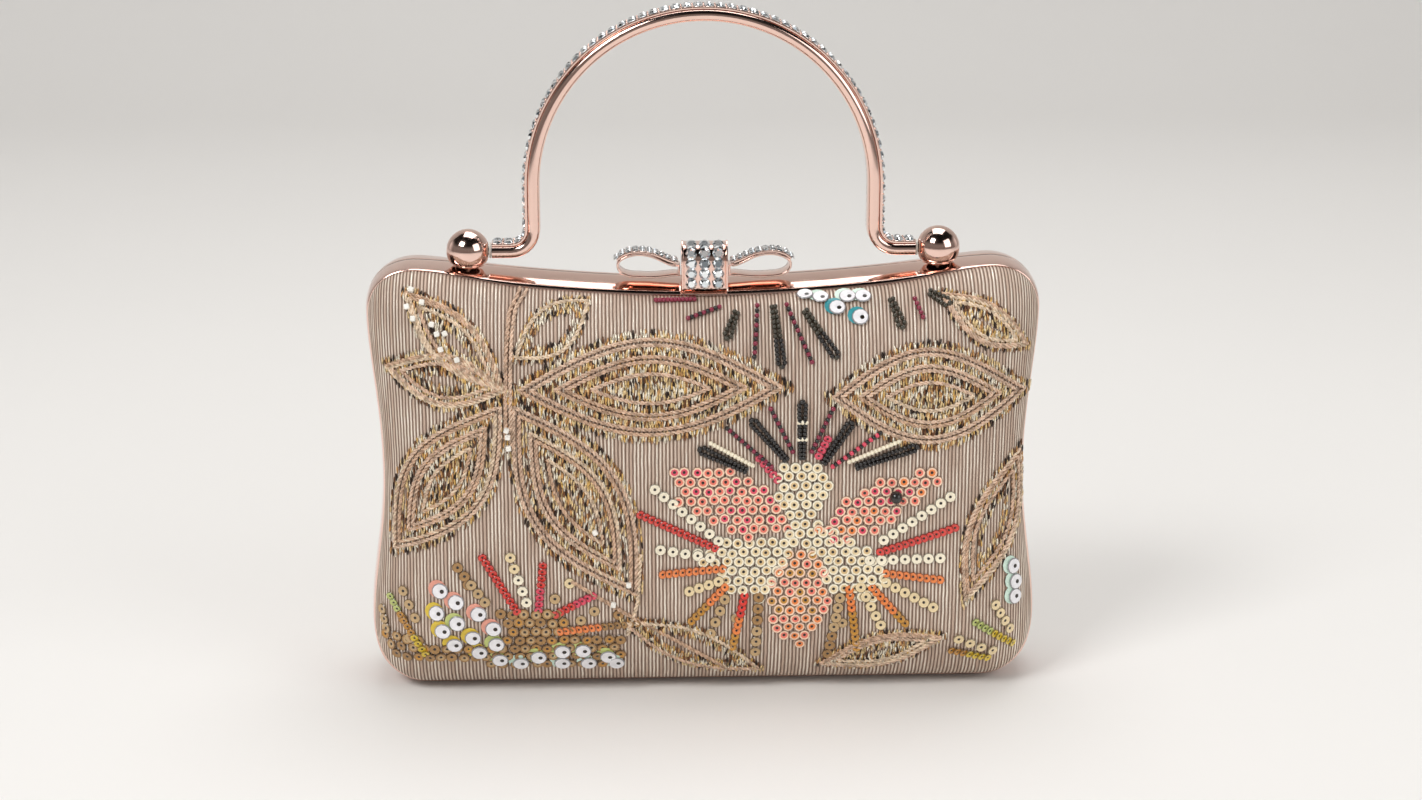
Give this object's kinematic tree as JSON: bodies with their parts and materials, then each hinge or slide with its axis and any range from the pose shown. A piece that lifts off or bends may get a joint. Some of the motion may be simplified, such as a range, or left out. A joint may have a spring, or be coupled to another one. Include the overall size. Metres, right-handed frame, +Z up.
{
  "type": "top-handle evening clutch bag",
  "caption": "Rigid framed evening bag with embroidered padded-look shells, an arched stone-set handle and a bow clasp.",
  "frame": {"origin": "on the standing surface, under the middle of the bag's box", "axes": "+X to the right seen from the front, +Y from the embroidered front to the back, +Z up"},
  "size_m": [0.197, 0.0541, 0.2006],
  "materials": {
    "rose_gold": "polished rose-gold plating",
    "bright_steel": "satin",
    "ribbed_fabric": "fine vertical ribs with a metallic thread",
    "moulded_pan": "matt",
    "satin_lining": "satin",
    "clear_stones": "cut and foil-backed",
    "nylon_washer": "matt",
    "dark_magnet": "nickel-plated",
    "gold_cord": "twisted metallic cord",
    "sequins": "pearly"
  },
  "bodies": {
    "front_half": {"front_frame": "rose_gold", "front_cover": "ribbed_fabric", "front_pan": "moulded_pan", "front_lining": "satin_lining", "left_hinge_front_leaf": "bright_steel", "left_hinge_pin": "bright_steel", "right_hinge_front_leaf": "bright_steel", "right_hinge_pin": "bright_steel", "left_knob": "rose_gold", "right_knob": "rose_gold", "left_pivot_washer": "nylon_washer", "right_pivot_washer": "nylon_washer", "left_knob_screw": "bright_steel", "right_knob_screw": "bright_steel", "clasp_bracket": "bright_steel", "clasp_pin": "bright_steel", "clasp_spring": "bright_steel", "left_leaves": "gold_cord", "right_leaf": "gold_cord", "top_right_leaf": "gold_cord", "low_right_leaf": "gold_cord", "bottom_leaf": "gold_cord", "large_flower": "sequins", "top_flower": "sequins", "low_flower": "sequins"},
    "back_half": {"back_frame": "rose_gold", "back_pan": "moulded_pan", "back_cover": "ribbed_fabric", "back_lining": "satin_lining", "left_hinge_back_leaf": "bright_steel", "right_hinge_back_leaf": "bright_steel", "keeper_plate": "bright_steel"},
    "handle": {"handle_bar": "rose_gold", "handle_stones": "clear_stones", "left_pivot_pin": "bright_steel", "right_pivot_pin": "bright_steel"},
    "clasp": {"bow_knot": "rose_gold", "left_bow_loop": "rose_gold", "right_bow_loop": "rose_gold", "left_loop_stones": "clear_stones", "right_loop_stones": "clear_stones", "knot_stones": "clear_stones", "clasp_magnet": "dark_magnet"}
  },
  "joints": [
    {"name": "case_hinge", "type": "hinge", "parent": "front_half", "child": "back_half", "pos_m": [0, 0, 0.002], "axis": [-1, 0, 0], "range_deg": [0, 70]},
    {"name": "handle_swing", "type": "hinge", "parent": "front_half", "child": "handle", "pos_m": [0, -0.005, 0.1299], "axis": [1, 0, 0], "range_deg": [-80, 110]},
    {"name": "clasp_tilt", "type": "hinge", "parent": "front_half", "child": "clasp", "pos_m": [0, -0.005, 0.114], "axis": [1, 0, 0], "range_deg": [0, 8], "stiffness_Nm_per_rad": 0.15, "springref_deg": -5.73}
  ]
}
